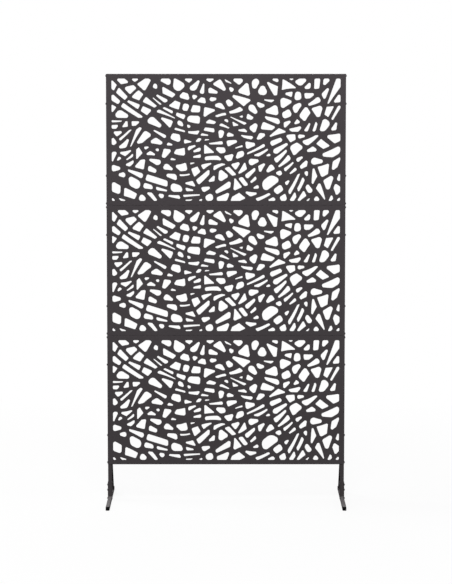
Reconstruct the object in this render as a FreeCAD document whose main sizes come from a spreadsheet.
"""Free-standing metal privacy screen.

Three folded sheet panels with a shattered cut-out pattern are bolted to two tube posts. The posts are
stacked from sections with sleeves inside their joints, and stand on foot tubes with a saddle bracket
in front of a welded brace. The origin is on the ground midway between the posts. X runs along the
screen, Z is up and the patterned face looks towards -Y.
"""
import FreeCAD, Part
import math
import os
import random
import re
import Sketcher

V = FreeCAD.Vector
TINY = 1e-6

# Driving dimensions in millimetres
SIZES = {
    # whole screen
    "screen_width": 1000.0,
    "panel_height": 548.5,
    "panel_gap": 0.2,
    "ground_clearance": 154.1,
    # folded panels
    "sheet_gauge": 0.8,
    "tray_depth": 19.0,
    "bend_radius": 1.2,
    "fit_gap": 0.15,
    "notch_gap": 0.9,
    "panel_bolt_edge": 8.0,
    "panel_bolt_inset": 124.0,
    # cut-outs
    "cutout_border": 19.5,
    "side_border": 23.2,
    "bar_width": 14.5,
    "opening_pitch": 46.5,
    "pattern_overlap": 20.0,
    "least_rounding": 3.0,
    "most_rounding": 11.0,
    # square tube of posts, feet and braces, and the sleeves inside it
    "tube_width": 16.0,
    "tube_wall": 1.2,
    "tube_corner": 2.0,
    "sleeve_gap": 0.2,
    "sleeve_overhang": 10.0,
    # feet and plastic plugs
    "foot_length": 480.0,
    "plug_flange": 2.5,
    "plug_reach": 13.0,
    "plug_edge": 0.8,
    # saddle bracket between post and foot
    "saddle_gauge": 1.5,
    "saddle_gap": 0.1,
    "saddle_low": 3.0,
    "saddle_high": 78.0,
    "saddle_corner": 4.0,
    "saddle_screw_low": 44.0,
    "saddle_screw_high": 66.0,
    # welded brace behind each post
    "brace_top": 228.0,
    "brace_reach": 178.0,
    "plate_gauge": 3.0,
    "plate_margin": 11.0,
    "plate_heel": 22.0,
    "brace_screw_low": 250.0,
    "brace_screw_high": 265.0,
    "brace_screw_rear": 203.0,
    # fasteners
    "thread_radius": 3.0,
    "hole_radius": 3.25,
    "thread_gap": 0.05,
    "head_radius": 5.25,
    "head_height": 3.3,
    "socket_radius": 2.3,
    "socket_depth": 2.0,
    "bolt_length": 22.0,
    "screw_length": 12.0,
    "nut_radius": 5.77,
    "nut_height": 5.0,
    "rivet_radius": 4.4,
    "rivet_flange_radius": 6.0,
    "rivet_flange": 0.8,
    "rivet_length": 10.0,
}

# Places that follow from the driving dimensions
PITCH = "(panel_height + panel_gap)"
PANEL_FRONT = "(tube_width / 2 + fit_gap + sheet_gauge)"
POST_AXIS = "(screen_width / 2 - sheet_gauge - fit_gap - tube_width / 2)"
SADDLE_FACE = "(tube_width / 2 + saddle_gap + saddle_gauge)"
PLATE_BACK = "(tube_width / 2 + rivet_flange + plate_gauge)"
PLATE_TOP = "(tube_width + rivet_flange + plate_gauge)"
PANEL_BOLTS = (
    "panel_bolt_edge",
    "panel_bolt_inset",
    "panel_height - panel_bolt_inset",
    "panel_height - panel_bolt_edge",
)
PANEL_LEVELS = {
    "bottom": "ground_clearance",
    "middle": "ground_clearance + " + PITCH,
    "top": "ground_clearance + 2 * " + PITCH,
}

# Ways that a fastener's head can point, as turns of its own +Z
UP = FreeCAD.Rotation()
HEAD = {
    "left": FreeCAD.Rotation(V(0, 1, 0), -90),
    "right": FreeCAD.Rotation(V(0, 1, 0), 90),
    "rear": FreeCAD.Rotation(V(1, 0, 0), -90),
    "front": FreeCAD.Rotation(V(1, 0, 0), 90),
}

doc = FreeCAD.newDocument("metal_privacy_screen")
sheet = doc.addObject("Spreadsheet::Sheet", "sizes")
for row, (name, number) in enumerate(SIZES.items(), 1):
    sheet.set("A%d" % row, name)
    sheet.set("B%d" % row, str(number))
    sheet.setAlias("B%d" % row, name)
doc.recompute()


def size(name):
    """Number that the sheet holds for a driving dimension."""
    return float(sheet.get(name))


def formula(text):
    """Expression with each driving dimension pointed at its cell."""
    return re.sub(r"[a-z_]+", lambda word: "sizes." * (word.group() in SIZES) + word.group(), text)


def bind(item, **formulas):
    """Ties properties of an object to formulas over the sheet."""
    for name, text in formulas.items():
        item.setExpression(name.replace("__", "."), formula(text))


# Sketches and features

def sketch_on(body, role, offset="0"):
    """Empty sketch on an origin plane of a body, moved along the plane's normal."""
    sketch = body.newObject("Sketcher::SketchObject", body.Name + "_sketch")
    plane = next(item for item in body.Origin.OriginFeatures if item.Role == role)
    sketch.AttachmentSupport = [(plane, "")]
    sketch.MapMode = "FlatFace"
    bind(sketch, AttachmentOffset__Base__z=offset)
    return sketch


def pin(sketch, item, point, across, up):
    """Holds a point of a sketch at a formula across and a formula up."""
    for kind, text in (("DistanceX", across), ("DistanceY", up)):
        row = sketch.addConstraint(Sketcher.Constraint(kind, -1, 1, item, point, 1.0))
        sketch.setExpression("Constraints[%d]" % row, formula(text))


def polygon(sketch, corners):
    """Closed outline through corners that are (across, up) formulas."""
    first = sketch.GeometryCount
    count = len(corners)
    ring = [V(math.cos(2 * math.pi * n / count), math.sin(2 * math.pi * n / count)) for n in range(count)]
    for n in range(count):
        sketch.addGeometry(Part.LineSegment(ring[n], ring[(n + 1) % count]), False)
    for n, (across, up) in enumerate(corners):
        before = first + (n - 1) % count
        sketch.addConstraint(Sketcher.Constraint("Coincident", before, 2, first + n, 1))
        pin(sketch, first + n, 1, across, up)


def rectangle(sketch, left, right, low, high):
    """Rectangle between two formulas across and two formulas up."""
    polygon(sketch, [(left, low), (right, low), (right, high), (left, high)])


def square(sketch, half):
    """Square about the sketch's origin."""
    rectangle(sketch, "-" + half, half, "-" + half, half)


def circle(sketch, across, up, radius):
    """Circle whose centre and radius are formulas."""
    item = sketch.addGeometry(Part.Circle(V(), V(0, 0, 1), 1.0), False)
    pin(sketch, item, 3, across, up)
    row = sketch.addConstraint(Sketcher.Constraint("Radius", item, 1.0))
    sketch.setExpression("Constraints[%d]" % row, formula(radius))


def pad(sketch, length, symmetric=False, backwards=False):
    """Adds material on a sketch, along its normal or against it."""
    body = sketch.getParentGeoFeatureGroup()
    feature = body.newObject("PartDesign::Pad", body.Name + "_pad")
    feature.Profile = sketch
    feature.SideType = "Symmetric" if symmetric else "One side"
    feature.Reversed = backwards
    bind(feature, Length=length)
    doc.recompute()
    return feature


def pocket(sketch, length=None, symmetric=False, forwards=False):
    """Cuts a sketch out against its normal, or along it; with no length the cut goes right through."""
    body = sketch.getParentGeoFeatureGroup()
    before = body.Shape.Volume
    feature = body.newObject("PartDesign::Pocket", body.Name + "_pocket")
    feature.Profile = sketch
    feature.SideType = "Symmetric" if symmetric else "One side"
    feature.Reversed = forwards
    if length:
        bind(feature, Length=length)
    else:
        feature.Type = "ThroughAll"
    doc.recompute()
    if not feature.Shape.Volume < before:
        raise RuntimeError(feature.Label + " cuts nothing")
    return feature


def round_edges(body, radius, wanted):
    """Rounds the edges of a body that a test picks out."""
    base = body.Tip
    names = ["Edge%d" % n for n, edge in enumerate(base.Shape.Edges, 1) if wanted(edge)]
    feature = body.newObject("PartDesign::Fillet", body.Name + "_fillet")
    feature.Base = (base, names)
    bind(feature, Radius=radius)
    doc.recompute()
    return feature


def runs_along(edge, axis):
    """True for a straight edge parallel to an axis."""
    if not isinstance(edge.Curve, Part.Line):
        return False
    return abs(edge.Curve.Direction.dot(axis)) > 1 - TINY


def new_body(name):
    """Empty body for one kind of piece."""
    return doc.addObject("PartDesign::Body", name)


# Cut-out pattern, in panel coordinates about the panel's middle

PATTERN_SEED = "ma"

# General turn of the slots in degrees: at the middle, added towards each side, and swung from low to high
MIDDLE_TURN = 8.0
SIDE_TURN = 46.0
SWING_TURN = 16.0
SWING_RATE = 2.4

# Patches that change the general run: strength, then middle and reach in half widths and half heights
STEEP_FAN = (115.0, -0.78, -0.05, 0.17, 0.32)
FALLING_SLOTS = (-75.0, 0.30, 0.75, 0.32, 0.28)
SMALL_BEADS = (-0.38, -0.12, 0.10, 0.22, 0.39)
BEAD_SLANT = 0.25

# Cells grow by this share at the right side, which starts this far across
SIDE_GROWTH = 0.45
SIDE_START = 0.72

# Spread of cell sizes, bar widths and strand directions, as standard deviations
SIZE_SPREAD = 0.20
BAR_SPREAD = 0.16
ALONG_SPREAD = math.radians(17)
CROSS_SPREAD = math.radians(27)

# A cell splits when it is this much over its size, and the best of a few tries is kept
SPLIT_OVER = 1.5
SPLIT_TRIES = 7
LEAST_SLIM, MOST_SLIM = 1.5, 2.4
LEAST_HALF = 0.5
OFF_MIDDLE = 0.08
PLUMP_ENOUGH = 0.365
CHANCE = 0.035

# Share of openings that are rounded right off
OVAL_SHARE = 0.2

# Waves that curve the strands: moves across and up, radians per millimetre across and up, and the start;
# they die out towards the window's edge by this power
WAVES = (
    (8.5, 0.0, 0.0, 1 / 46, 0.8),
    (4.7, 0.0, 1 / 37, 0.0, 1.3),
    (0.0, 9.4, 1 / 50, 0.0, 2.1),
    (0.0, 4.7, 1 / 33, 1 / 33, 0.4),
)
EDGE_POWER = 6

# Corners that stay a corner keep this share of the shorter side for their arc
ARC_SHARE = 0.46

# Sides shorter than this many least roundings are merged, and sides with less sag than this are straight
SHORT_SIDE = 1.5
STRAIGHT_ENOUGH = 0.02


def shares(point):
    """Place on the panel as shares of half its width and half its height."""
    return 2 * point[0] / size("screen_width"), 2 * point[1] / size("panel_height")


def patch(settings, across, up):
    """Strength of a patch at a place, which dies away from its middle."""
    strength, middle_across, middle_up, width, height = settings
    return strength * math.exp(-((across - middle_across) / width) ** 2 - ((up - middle_up) / height) ** 2)


def slot_direction(point):
    """Direction that slots follow at a point, falling on the left and rising on the right."""
    across, up = shares(point)
    turn = MIDDLE_TURN + SIDE_TURN * across
    turn -= SWING_TURN * math.sin(SWING_RATE * up) * (1 - abs(across))
    turn += patch(STEEP_FAN, across, up) + patch(FALLING_SLOTS, across, up)
    return math.radians(turn)


def cell_area(point):
    """Usual area of a cell at a point: small beads near the middle, large cells at the right side."""
    across, up = shares(point)
    growth = SIDE_GROWTH * max(0.0, across - SIDE_START) / (1 - SIDE_START)
    return size("opening_pitch") ** 2 * (1 + growth + patch(SMALL_BEADS, across + BEAD_SLANT * up, up))


def area_and_middle(outline):
    """Area and centroid of an outline that runs anticlockwise."""
    area = across = up = 0.0
    for n, here in enumerate(outline):
        there = outline[(n + 1) % len(outline)]
        cross = here[0] * there[1] - there[0] * here[1]
        area += cross / 2
        across += (here[0] + there[0]) * cross / 6
        up += (here[1] + there[1]) * cross / 6
    return area, (across / area, up / area)


def extent(outline, way):
    """Length of an outline along a direction."""
    along = [corner[0] * way[0] + corner[1] * way[1] for corner in outline]
    return max(along) - min(along)


def plumpness(outline):
    """Area over half the girth, which is the radius of a circle inscribed in a regular outline."""
    girth = sum(math.dist(outline[n - 1], outline[n]) for n in range(len(outline)))
    return 2 * area_and_middle(outline)[0] / girth


def keep_side(outline, point, way):
    """Part of a convex outline behind the line through a point that faces a direction."""
    kept = []
    for n, here in enumerate(outline):
        there = outline[(n + 1) % len(outline)]
        ahead = (here[0] - point[0]) * way[0] + (here[1] - point[1]) * way[1]
        after = (there[0] - point[0]) * way[0] + (there[1] - point[1]) * way[1]
        if ahead <= 0:
            kept.append(here)
        if ahead * after < 0:
            share = ahead / (ahead - after)
            kept.append((here[0] + share * (there[0] - here[0]), here[1] + share * (there[1] - here[1])))
    return kept


def split_once(outline, rng, goal):
    """Splits a cell by a strand, along the slots if it is wide and across them if it is long."""
    middle = area_and_middle(outline)[1]
    best = None
    for _ in range(SPLIT_TRIES):
        turn = slot_direction(middle)
        length = extent(outline, (math.cos(turn), math.sin(turn)))
        width = extent(outline, (-math.sin(turn), math.cos(turn)))
        if length > rng.uniform(LEAST_SLIM, MOST_SLIM) * width:
            turn += math.pi / 2 + rng.gauss(0, CROSS_SPREAD)
        else:
            turn += rng.gauss(0, ALONG_SPREAD)
        way = (-math.sin(turn), math.cos(turn))
        shift = rng.uniform(-OFF_MIDDLE, OFF_MIDDLE) * extent(outline, way)
        point = (middle[0] + shift * way[0], middle[1] + shift * way[1])
        halves = [keep_side(outline, point, way), keep_side(outline, point, (-way[0], -way[1]))]
        areas = [area_and_middle(half)[0] for half in halves]
        slimmest = min(plumpness(half) / math.sqrt(share) for half, share in zip(halves, areas))
        shortfall = min(0.0, min(areas) / goal - LEAST_HALF)
        score = min(slimmest, PLUMP_ENOUGH) + shortfall + rng.uniform(0, CHANCE)
        if best is None or score > best[0]:
            best = (score, halves)
    return best[1]


def split_cells(outline, path=""):
    """Cells that an outline breaks into; each cell's path seeds its own random choices."""
    rng = random.Random(PATTERN_SEED + path)
    area, middle = area_and_middle(outline)
    goal = cell_area(middle) * math.exp(rng.gauss(0.0, SIZE_SPREAD))
    if area < SPLIT_OVER * goal:
        return [(outline, path)]
    first, second = split_once(outline, rng, goal)
    return split_cells(first, path + "0") + split_cells(second, path + "1")


def draw_in(outline, gap):
    """Cell drawn in by a gap on each side."""
    drawn = outline
    for n, here in enumerate(outline):
        there = outline[(n + 1) % len(outline)]
        length = math.dist(here, there)
        if length < TINY:
            continue
        way = ((there[1] - here[1]) / length, (here[0] - there[0]) / length)
        drawn = keep_side(drawn, (here[0] - gap * way[0], here[1] - gap * way[1]), way)
    return drawn


def cut_to_window(outline, window):
    """Part of a cell inside the panel's window."""
    for way in ((1, 0), (-1, 0), (0, 1), (0, -1)):
        outline = keep_side(outline, (window[0] * way[0], window[1] * way[1]), way)
    return outline


def merge_corners(outline, least):
    """Outline without sides shorter than a length."""
    for n, here in enumerate(outline):
        before = outline[n - 1]
        if len(outline) > 3 and math.dist(before, here) < least:
            halfway = ((before[0] + here[0]) / 2, (before[1] + here[1]) / 2)
            rest = [corner for corner in outline if corner not in (before, here)]
            place = n - 1 if n else len(rest)
            return merge_corners(rest[:place] + [halfway] + rest[place:], least)
    return outline


def rounded_corner(before, corner, after, radius):
    """Start, middle and end of the arc that rounds a corner."""
    reach = math.dist(corner, before), math.dist(corner, after)
    back = [(before[k] - corner[k]) / reach[0] for k in (0, 1)]
    ahead = [(after[k] - corner[k]) / reach[1] for k in (0, 1)]
    half = math.acos(max(-1.0, min(1.0, back[0] * ahead[0] + back[1] * ahead[1]))) / 2
    tangent = min(radius / math.tan(half), ARC_SHARE * min(reach))
    inward = tangent / math.cos(half) - tangent * math.tan(half)
    bisector = [(back[k] + ahead[k]) / (2 * math.cos(half)) for k in (0, 1)]
    start = [corner[k] + back[k] * tangent for k in (0, 1)]
    middle = [corner[k] + bisector[k] * inward for k in (0, 1)]
    end = [corner[k] + ahead[k] * tangent for k in (0, 1)]
    return start, middle, end


def bend(point, window):
    """Point moved by gentle waves that die out at the window's edge, so that strands curve."""
    fade = (1 - (point[0] / window[0]) ** EDGE_POWER) * (1 - (point[1] / window[1]) ** EDGE_POWER)
    moved = V(point[0], 0, point[1])
    for move_across, move_up, rate_across, rate_up, start in WAVES:
        wave = fade * math.sin(rate_across * point[0] + rate_up * point[1] + start)
        moved += V(move_across * wave, 0, move_up * wave)
    return moved


def curved_edge(start, middle, end, window):
    """Edge through three bent points, straight where they are in line."""
    start, middle, end = (bend(point, window) for point in (start, middle, end))
    if middle.distanceToLine(start, end - start) < STRAIGHT_ENOUGH:
        return Part.LineSegment(start, end).toShape()
    return Part.Arc(start, middle, end).toShape()


def opening_face(outline, radius, window):
    """Face of one opening, with rounded corners and gently curved sides."""
    count = len(outline)
    corners = [(outline[n - 1], outline[n], outline[(n + 1) % count]) for n in range(count)]
    arcs = [rounded_corner(*corner, radius) for corner in corners]
    edges = []
    for n, (start, middle, end) in enumerate(arcs):
        onward = arcs[(n + 1) % count][0]
        halfway = [(end[k] + onward[k]) / 2 for k in (0, 1)]
        edges.append(curved_edge(start, middle, end, window))
        edges.append(curved_edge(end, halfway, onward, window))
    return Part.Face(Part.Wire(edges))


def opening_faces():
    """Faces of all openings of a panel, about its middle; the window cuts a pattern that reaches past it."""
    half_width = size("screen_width") / 2 - size("side_border")
    half_height = size("panel_height") / 2 - size("cutout_border")
    window = (half_width, half_height)
    wide = half_width + size("pattern_overlap")
    high = half_height + size("pattern_overlap")
    least, most = size("least_rounding"), size("most_rounding")
    faces = []
    for cell, path in split_cells([(-wide, -high), (wide, -high), (wide, high), (-wide, high)]):
        rng = random.Random(PATTERN_SEED + "w" + path)
        gap = size("bar_width") / 2 * math.exp(rng.gauss(0.0, BAR_SPREAD))
        outline = merge_corners(cut_to_window(draw_in(cell, gap), window), SHORT_SIDE * least)
        plump = plumpness(outline) if len(outline) > 2 else 0.0
        if plump < least:
            continue
        radius = plump if rng.random() < OVAL_SHARE else rng.uniform(least, most)
        faces.append(opening_face(outline, min(radius, plump), window))
    return faces


# Pieces, each about its own reference point

def panel_tray():
    """Folded sheet with four flanges, about the middle of its lower edge."""
    body = new_body("panel_tray")
    blank = sketch_on(body, "XZ_Plane", PANEL_FRONT)
    rectangle(blank, "-screen_width / 2", "screen_width / 2", "0", "panel_height")
    pad(blank, "tray_depth", backwards=True)
    front = body.Shape.BoundBox.YMin
    round_edges(body, "bend_radius", lambda edge: abs(edge.BoundBox.YMax - front) < TINY)

    inside = PANEL_FRONT + " - sheet_gauge"
    hollow = sketch_on(body, "XZ_Plane", inside)
    wide = "(screen_width / 2 - sheet_gauge)"
    rectangle(hollow, "-" + wide, wide, "sheet_gauge", "panel_height - sheet_gauge")
    pocket(hollow)
    floor = front + size("sheet_gauge")
    inner = size("screen_width") / 2 - size("sheet_gauge") + TINY
    round_edges(body, "bend_radius - sheet_gauge",
                lambda edge: abs(edge.BoundBox.YMin - floor) + edge.BoundBox.YLength < TINY
                and abs(edge.CenterOfMass.x) < inner)

    notch = sketch_on(body, "XZ_Plane", inside)
    clear = "(screen_width / 2 - sheet_gauge - tube_width - notch_gap)"
    fold = "(bend_radius + fit_gap)"
    for low, high in (("-" + fold, fold), ("panel_height - " + fold, "panel_height + " + fold)):
        rectangle(notch, "-" + wide, "-" + clear, low, high)
        rectangle(notch, clear, wide, low, high)
    pocket(notch)

    holes = sketch_on(body, "YZ_Plane")
    for up in PANEL_BOLTS:
        circle(holes, "0", up, "hole_radius")
    pocket(holes, symmetric=True)
    return body


def perforated_panel():
    """Panel tray with the pattern cut through its front sheet."""
    cutouts = doc.addObject("Part::Feature", "panel_cutouts")
    depth = size("bend_radius") + size("sheet_gauge")
    cutouts.Shape = Part.Compound(opening_faces()).extrude(V(0, depth, 0))
    front = size("tube_width") / 2 + size("fit_gap") + size("bend_radius")
    cutouts.Placement.Base = V(0, -front, size("panel_height") / 2)
    panel = doc.addObject("Part::Cut", "perforated_panel")
    panel.Base = panel_tray()
    panel.Tool = cutouts
    panel.Refine = False
    doc.recompute()
    print("openings per panel", len(cutouts.Shape.Solids))
    return panel


def square_tube(name, role, half, wall, length, low="0", symmetric=False):
    """Square tube with rounded corners along the normal of an origin plane."""
    body = new_body(name)
    section = sketch_on(body, role, low)
    square(section, "(" + half + ")")
    square(section, "(" + half + " - " + wall + ")")
    pad(section, length, symmetric)
    axis = {"XY_Plane": V(0, 0, 1), "XZ_Plane": V(0, 1, 0)}[role]
    corner = max(edge.CenterOfMass.cross(axis).Length for edge in body.Shape.Edges) - size("tube_wall") / 2
    round_edges(body, "tube_corner", lambda edge: runs_along(edge, axis)
                and edge.CenterOfMass.cross(axis).Length > corner)
    round_edges(body, "tube_corner - tube_wall", lambda edge: runs_along(edge, axis)
                and edge.CenterOfMass.cross(axis).Length < corner - size("tube_wall") / 2)
    return body


def post_section(name, low, high, bolts):
    """Length of post, about the lower edge of the panel that it carries."""
    body = square_tube(name, "XY_Plane", "tube_width / 2", "tube_wall", high + " - (" + low + ")", low)
    holes = sketch_on(body, "YZ_Plane")
    for up in bolts:
        circle(holes, "0", up, "hole_radius")
    pocket(holes, symmetric=True)
    return body


def lower_post():
    """Lowest post section, with holes for the saddle's screws and the brace's rivet nuts."""
    bolts = ("saddle_screw_low - ground_clearance", "saddle_screw_high - ground_clearance") + PANEL_BOLTS
    body = post_section("lower_post", "tube_width - ground_clearance", "panel_height", bolts)
    rivets = sketch_on(body, "XZ_Plane")
    for up in ("brace_screw_low", "brace_screw_high"):
        circle(rivets, "0", up + " - ground_clearance", "rivet_radius + thread_gap")
    pocket(rivets)
    return body


def seam_sleeve():
    """Tube inside a joint of two post sections, about the joint."""
    reach = "panel_bolt_inset + sleeve_overhang + panel_gap / 2"
    half = "tube_width / 2 - tube_wall - sleeve_gap"
    body = square_tube("seam_sleeve", "XY_Plane", half, "tube_wall", "2 * (" + reach + ")", symmetric=True)
    holes = sketch_on(body, "YZ_Plane")
    for away in ("panel_bolt_edge + panel_gap / 2", "panel_bolt_inset + panel_gap / 2"):
        circle(holes, "0", away, "hole_radius")
        circle(holes, "0", "-(" + away + ")", "hole_radius")
    pocket(holes, symmetric=True)
    return body


def foot_tube():
    """Foot along Y, about its own middle."""
    body = square_tube("foot_tube", "XZ_Plane", "tube_width / 2", "tube_wall",
                       "foot_length - 2 * plug_flange", symmetric=True)
    bolt = sketch_on(body, "YZ_Plane")
    circle(bolt, "0", "0", "hole_radius")
    pocket(bolt, symmetric=True)
    rivet = sketch_on(body, "XY_Plane")
    circle(rivet, "0", "brace_screw_rear", "rivet_radius + thread_gap")
    pocket(rivet, forwards=True)
    return body


def end_plug(name, cross_hole):
    """Plastic plug for a tube's end, about the end; a cross hole lets a post's top bolt through."""
    body = new_body(name)
    flange = sketch_on(body, "XY_Plane")
    square(flange, "(tube_width / 2)")
    pad(flange, "plug_flange")
    upright = V(0, 0, 1)
    round_edges(body, "tube_corner", lambda edge: runs_along(edge, upright))
    top = body.Shape.BoundBox.ZMax
    round_edges(body, "plug_edge", lambda edge: abs(edge.BoundBox.ZMin - top) < TINY)
    insert = sketch_on(body, "XY_Plane")
    square(insert, "(tube_width / 2 - tube_wall - sleeve_gap)")
    pad(insert, "plug_reach", backwards=True)
    round_edges(body, "tube_corner - tube_wall", lambda edge: runs_along(edge, upright)
                and edge.CenterOfMass.z < 0)
    if cross_hole:
        hole = sketch_on(body, "YZ_Plane")
        circle(hole, "0", "plug_flange - panel_bolt_edge", "hole_radius")
        pocket(hole, symmetric=True)
    return body


def saddle_bracket():
    """Pressing with a web behind the post and cheeks that reach down over the foot."""
    body = new_body("saddle_bracket")
    inner = "(tube_width / 2 + saddle_gap)"
    front = "-tube_width / 2"
    section = sketch_on(body, "XY_Plane", "saddle_low")
    polygon(section, [
        ("-" + SADDLE_FACE, front), ("-" + inner, front), ("-" + inner, inner), (inner, inner),
        (inner, front), (SADDLE_FACE, front), (SADDLE_FACE, SADDLE_FACE), ("-" + SADDLE_FACE, SADDLE_FACE),
    ])
    pad(section, "saddle_high - saddle_low")
    upright = V(0, 0, 1)
    rear = body.Shape.BoundBox.YMax
    round_edges(body, "tube_corner + saddle_gap", lambda edge: runs_along(edge, upright)
                and edge.CenterOfMass.y > rear - TINY)
    sideways = V(1, 0, 0)
    round_edges(body, "saddle_corner", lambda edge: runs_along(edge, sideways)
                and edge.CenterOfMass.y < 0)
    arch = sketch_on(body, "XZ_Plane")
    rectangle(arch, "-" + inner, inner, "0", "tube_width + saddle_gauge")
    pocket(arch)
    holes = sketch_on(body, "YZ_Plane")
    for up in ("tube_width / 2", "saddle_screw_low", "saddle_screw_high"):
        circle(holes, "0", up, "hole_radius")
    pocket(holes, symmetric=True)
    return body


def brace_outline(sketch, half):
    """Side view of the leaning tube, cut square to the post and to the foot."""
    run = "(brace_reach - " + PLATE_BACK + ")"
    rise = "(brace_top - " + PLATE_TOP + ")"
    slant = "sqrt(" + run + " ^ 2 + " + rise + " ^ 2)"
    upright = half + " * " + slant + " / " + run
    level = half + " * " + slant + " / " + rise
    polygon(sketch, [
        (PLATE_BACK, "brace_top - " + upright),
        ("brace_reach - " + level, PLATE_TOP),
        ("brace_reach + " + level, PLATE_TOP),
        (PLATE_BACK, "brace_top + " + upright),
    ])


def brace_strut():
    """Leaning tube welded to a plate on the post and a plate on the foot."""
    body = new_body("brace_strut")
    outside = sketch_on(body, "YZ_Plane")
    brace_outline(outside, "(tube_width / 2)")
    pad(outside, "tube_width", symmetric=True)
    long_side = math.hypot(size("brace_reach"), size("brace_top")) / 2
    round_edges(body, "tube_corner", lambda edge: edge.Length > long_side)
    hollow = sketch_on(body, "YZ_Plane")
    brace_outline(hollow, "(tube_width / 2 - tube_wall)")
    pocket(hollow, "tube_width - 2 * tube_wall", symmetric=True)

    plates = sketch_on(body, "YZ_Plane")
    rectangle(plates, "tube_width / 2 + rivet_flange", PLATE_BACK,
              "brace_top - plate_heel", "brace_screw_high + plate_margin")
    rectangle(plates, "brace_reach - plate_heel", "brace_screw_rear + plate_margin",
              "tube_width + rivet_flange", PLATE_TOP)
    pad(plates, "tube_width", symmetric=True)

    top_holes = sketch_on(body, "XZ_Plane")
    for up in ("brace_screw_low", "brace_screw_high", "brace_top"):
        circle(top_holes, "0", up, "hole_radius")
    pocket(top_holes, PLATE_BACK)
    foot_holes = sketch_on(body, "XY_Plane")
    for across in ("brace_screw_rear", "brace_reach"):
        circle(foot_holes, "0", across, "hole_radius")
    pocket(foot_holes, PLATE_TOP, forwards=True)
    return body


# Fasteners, about the face that they bear on, with the head above it

def cylinder(name, radius, low, high):
    """Upright cylinder between two heights."""
    item = doc.addObject("Part::Cylinder", name)
    bind(item, Radius=radius, Height=high + " - (" + low + ")", Placement__Base__z=low)
    return item


def hexagon(name, radius, low, high):
    """Upright hexagonal prism between two heights."""
    item = doc.addObject("Part::Prism", name)
    item.Polygon = 6
    bind(item, Circumradius=radius, Height=high + " - (" + low + ")", Placement__Base__z=low)
    return item


def ball(name, radius, middle):
    """Ball about a height."""
    item = doc.addObject("Part::Sphere", name)
    bind(item, Radius=radius, Placement__Base__z=middle)
    return item


def combine(kind, name, base, tool):
    """Boolean of two solids."""
    item = doc.addObject("Part::" + kind, name)
    item.Base = base
    item.Tool = tool
    return item


def socket_screw(name, length):
    """Button-head screw with a hexagon socket."""
    disc = cylinder(name + "_disc", "head_radius", "0", "head_height")
    dome = "(head_radius ^ 2 + head_height ^ 2) / (2 * head_height)"
    head = combine("Common", name + "_head", disc, ball(name + "_dome", dome, "head_height - " + dome))
    shank = cylinder(name + "_shank", "thread_radius", "-" + length, "head_height / 2")
    blank = combine("Fuse", name + "_blank", head, shank)
    socket = hexagon(name + "_socket", "socket_radius", "head_height - socket_depth", "head_height * 2")
    return combine("Cut", name, blank, socket)


def hexagon_nut():
    """Hexagon nut with eased corners below its bearing face."""
    block = hexagon("nut_block", "nut_radius", "-nut_height", "0")
    easing = ball("nut_easing", "nut_radius", "-nut_height / 2")
    eased = combine("Common", "nut_eased", block, easing)
    bore = cylinder("nut_bore", "thread_radius + thread_gap", "-2 * nut_height", "nut_height")
    return combine("Cut", "hexagon_nut", eased, bore)


def rivet_nut():
    """Threaded insert with its flange on a tube's wall."""
    flange = cylinder("rivet_rim", "rivet_flange_radius", "0", "rivet_flange")
    barrel = cylinder("rivet_barrel", "rivet_radius", "-rivet_length", "rivet_flange")
    blank = combine("Fuse", "rivet_blank", flange, barrel)
    bore = cylinder("rivet_bore", "thread_radius + thread_gap", "-2 * rivet_length", "rivet_length")
    return combine("Cut", "rivet_nut", blank, bore)


# Sub-parts in their places

nodes = []


def copy_of(piece, name, across="0", along="0", up="0", turn=UP):
    """Copy of a piece whose place follows formulas."""
    item = doc.addObject("Part::Compound", name)
    item.Links = [piece]
    item.Placement.Rotation = turn
    bind(item, Placement__Base__x=across, Placement__Base__y=along, Placement__Base__z=up)
    return item


def place(name, piece, *where):
    """Sub-part made of one piece."""
    nodes.append(copy_of(piece, name, *where))


def place_group(name, piece, spots):
    """Sub-part made of several copies of a fastener; each spot is across, along, up and a turn."""
    group = doc.addObject("Part::Compound", name)
    group.Links = [copy_of(piece, "%s_%02d" % (name, n), *spot) for n, spot in enumerate(spots, 1)]
    nodes.append(group)


panel = perforated_panel()
for level, up in PANEL_LEVELS.items():
    place("panel_" + level, panel, "0", "0", up)

middle_post = post_section("middle_post", "0", "panel_height", PANEL_BOLTS)
upper_post = post_section("upper_post", "0", "(panel_height - plug_flange)", PANEL_BOLTS)
posts = {
    "lower": (lower_post(), PANEL_LEVELS["bottom"]),
    "middle": (middle_post, PANEL_LEVELS["middle"]),
    "upper": (upper_post, PANEL_LEVELS["top"]),
}
seams = {
    "lower": PANEL_LEVELS["middle"] + " - panel_gap / 2",
    "upper": PANEL_LEVELS["top"] + " - panel_gap / 2",
}
sleeve = seam_sleeve()
foot = foot_tube()
foot_plug = end_plug("foot_plug", False)
post_plug = end_plug("post_plug", True)
saddle = saddle_bracket()
brace = brace_strut()
bolt = socket_screw("bolt", "bolt_length")
screw = socket_screw("screw", "screw_length")
nut = hexagon_nut()
rivet = rivet_nut()

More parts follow.
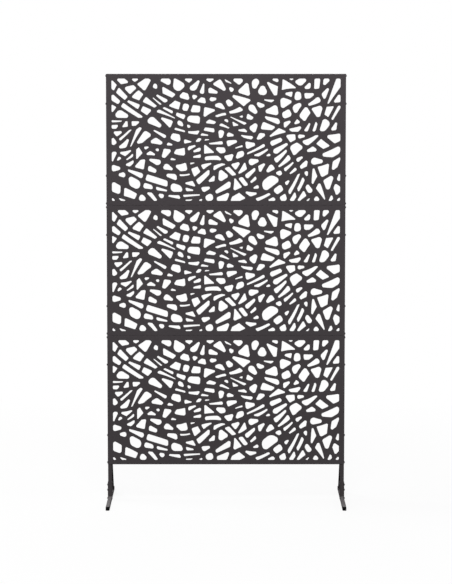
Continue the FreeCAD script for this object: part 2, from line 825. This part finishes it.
for side, sign in (("left", "-"), ("right", "")):
    axis = sign + POST_AXIS
    inward = " + " if side == "left" else " - "
    outward = " - " if side == "left" else " + "
    turn = HEAD[side]
    foot_axis = "tube_width / 2"
    tube_end = "(foot_length / 2 - plug_flange)"

    for section, (piece, up) in posts.items():
        place("%s_post_%s" % (side, section), piece, axis, "0", up)
    for seam, up in seams.items():
        place("%s_sleeve_%s" % (side, seam), sleeve, axis, "0", up)
    place(side + "_post_plug", post_plug, axis, "0", PANEL_LEVELS["top"] + " + panel_height - plug_flange")
    place(side + "_foot", foot, axis, "0", foot_axis)
    place(side + "_foot_plug_front", foot_plug, axis, "-" + tube_end, foot_axis, HEAD["front"])
    place(side + "_foot_plug_rear", foot_plug, axis, tube_end, foot_axis, HEAD["rear"])
    place(side + "_saddle", saddle, axis)
    place(side + "_brace", brace, axis)

    panel_heights = [level + " + " + up for level in PANEL_LEVELS.values() for up in PANEL_BOLTS]
    panel_side = sign + "screen_width / 2"
    post_inside = axis + inward + "tube_width / 2"
    place_group(side + "_panel_bolts", bolt, [(panel_side, "0", up, turn) for up in panel_heights])
    place_group(side + "_panel_nuts", nut, [(post_inside, "0", up, turn) for up in panel_heights])

    saddle_heights = (foot_axis, "saddle_screw_low", "saddle_screw_high")
    cheek_outside = axis + outward + SADDLE_FACE
    wall_inside = axis + outward + "(tube_width / 2 - tube_wall)"
    place_group(side + "_saddle_screws", screw, [(cheek_outside, "0", up, turn) for up in saddle_heights])
    place_group(side + "_weld_nuts", nut, [(wall_inside, "0", up, turn) for up in saddle_heights])

    brace_heights = ("brace_screw_low", "brace_screw_high")
    rivet_spots = [(axis, "tube_width / 2", up, HEAD["rear"]) for up in brace_heights]
    rivet_spots.append((axis, "brace_screw_rear", "tube_width", UP))
    screw_spots = [(axis, PLATE_BACK, up, HEAD["rear"]) for up in brace_heights]
    screw_spots.append((axis, "brace_screw_rear", PLATE_TOP, UP))
    place_group(side + "_brace_rivet_nuts", rivet, rivet_spots)
    place_group(side + "_brace_screws", screw, screw_spots)

doc.recompute()
for item in doc.Objects:
    if {"Invalid", "Error"} & set(item.State):
        raise RuntimeError(item.Label + " failed: " + ", ".join(item.State))

checked = []
for node in nodes:
    if node.Shape.isNull() or not node.Shape.Solids:
        raise RuntimeError(node.Label + " has no shape")
    for solid in node.Shape.Solids:
        if any(solid.isPartner(other) for other in checked):
            continue
        if not solid.isValid():
            raise RuntimeError(node.Label + " has a shape that isn't valid")
        checked.append(solid)

os.makedirs("parts", exist_ok=True)
for node in nodes:
    solids = node.Shape.Solids
    shape = solids[0] if len(solids) == 1 else Part.Compound(solids)
    shape.exportStep("parts/%s.step" % node.Label)
    box = shape.BoundBox
    spans = (box.XLength, box.YLength, box.ZLength)
    print("%-26s %2d solids" % (node.Label, len(solids)), "%8.1f %7.1f %7.1f" % spans)
